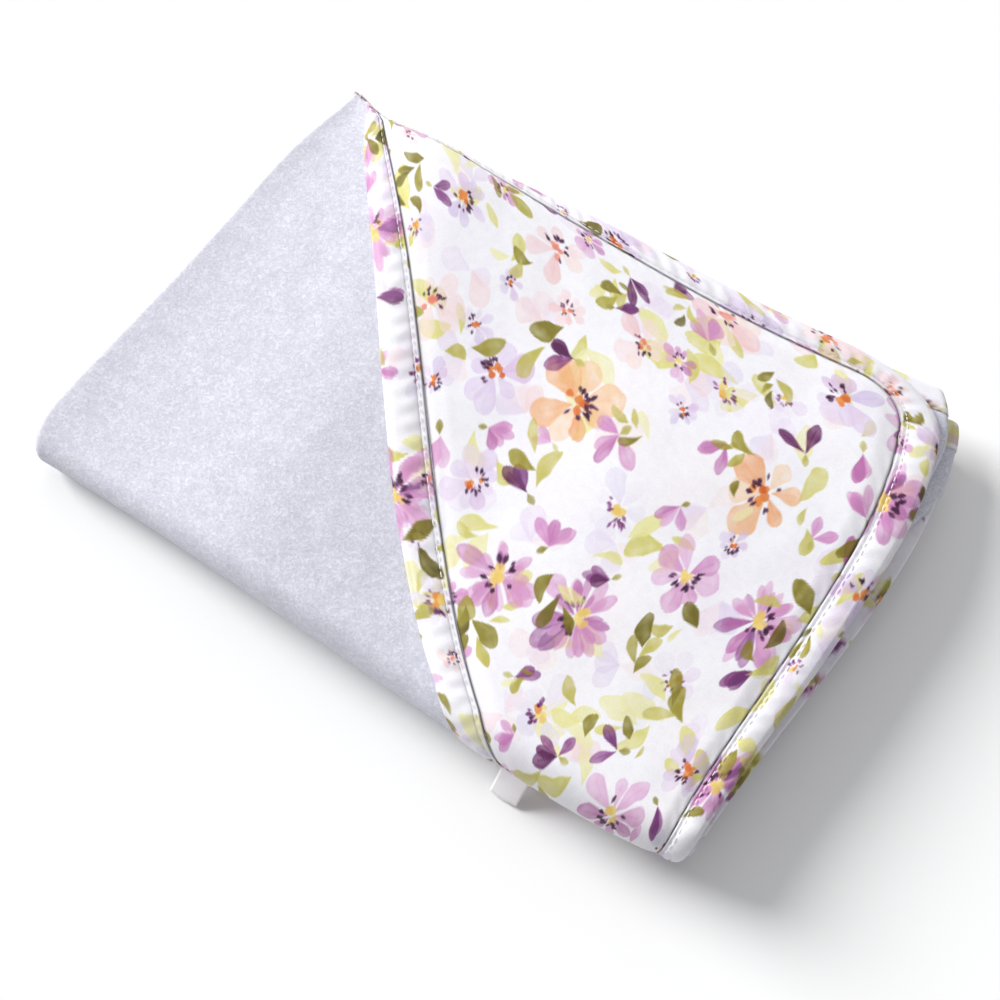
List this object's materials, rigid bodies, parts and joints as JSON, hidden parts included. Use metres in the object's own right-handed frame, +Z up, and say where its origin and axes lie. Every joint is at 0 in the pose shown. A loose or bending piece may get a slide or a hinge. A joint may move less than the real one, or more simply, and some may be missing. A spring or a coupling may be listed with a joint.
{
  "type": "hooded baby towel",
  "caption": "Square white terry bath towel folded flat, with a floral-print cotton hood panel over one corner, bound edges and a small blank side label.",
  "frame": {"origin": "centre of the packet's outer box at the surface it lies on", "axes": "+Z up, thin way; +X along the packet's long side, towards the hood corner's bound end; +Y across it, from the last long fold to the open bound edges"},
  "size_m": [0.2796, 0.1914, 0.0323],
  "materials": {
    "terry": "looped cotton terry, matt",
    "floral_print": null,
    "print_binding": "the same print cut on the bias, folded over the edge and stitched",
    "thread": "fine white sewing thread",
    "satin_tape": "smooth white satin tape, blank"
  },
  "bodies": {
    "lower_half": {"terry_ply_bottom": "terry", "terry_ply_lower_inner": "terry", "edge_binding_hood_under": "print_binding", "edge_binding_lower_side": "print_binding", "edge_binding_inner_end": "print_binding", "hood_panel_under": "floral_print", "hood_lining_under": "terry", "hood_front_binding_under": "print_binding", "side_label": "satin_tape"},
    "upper_half": {"terry_ply_top": "terry", "terry_ply_upper_inner": "terry", "edge_binding_hood_corner": "print_binding", "edge_binding_top_ply": "print_binding", "edge_binding_upper_inner_ply": "print_binding", "hood_panel": "floral_print", "hood_lining": "terry", "hood_panel_fold": "floral_print", "hood_lining_fold": "terry", "hood_front_binding_fold": "print_binding", "edge_topstitch": "thread"},
    "hood_front": {"hood_panel_front": "floral_print", "hood_lining_front": "terry", "hood_front_binding": "print_binding", "hood_front_topstitch": "thread"}
  },
  "joints": [
    {"name": "unfold", "type": "hinge", "parent": "lower_half", "child": "upper_half", "pos_m": [0, -0.0969, 0.0162], "axis": [1, 0, 0], "range_deg": [0, 180]},
    {"name": "hood_mouth_lift", "type": "hinge", "parent": "upper_half", "child": "hood_front", "pos_m": [0.0319, 0.0037, 0.0316], "axis": [-0.6394, 0.7688, 0], "range_deg": [0, 30]}
  ]
}
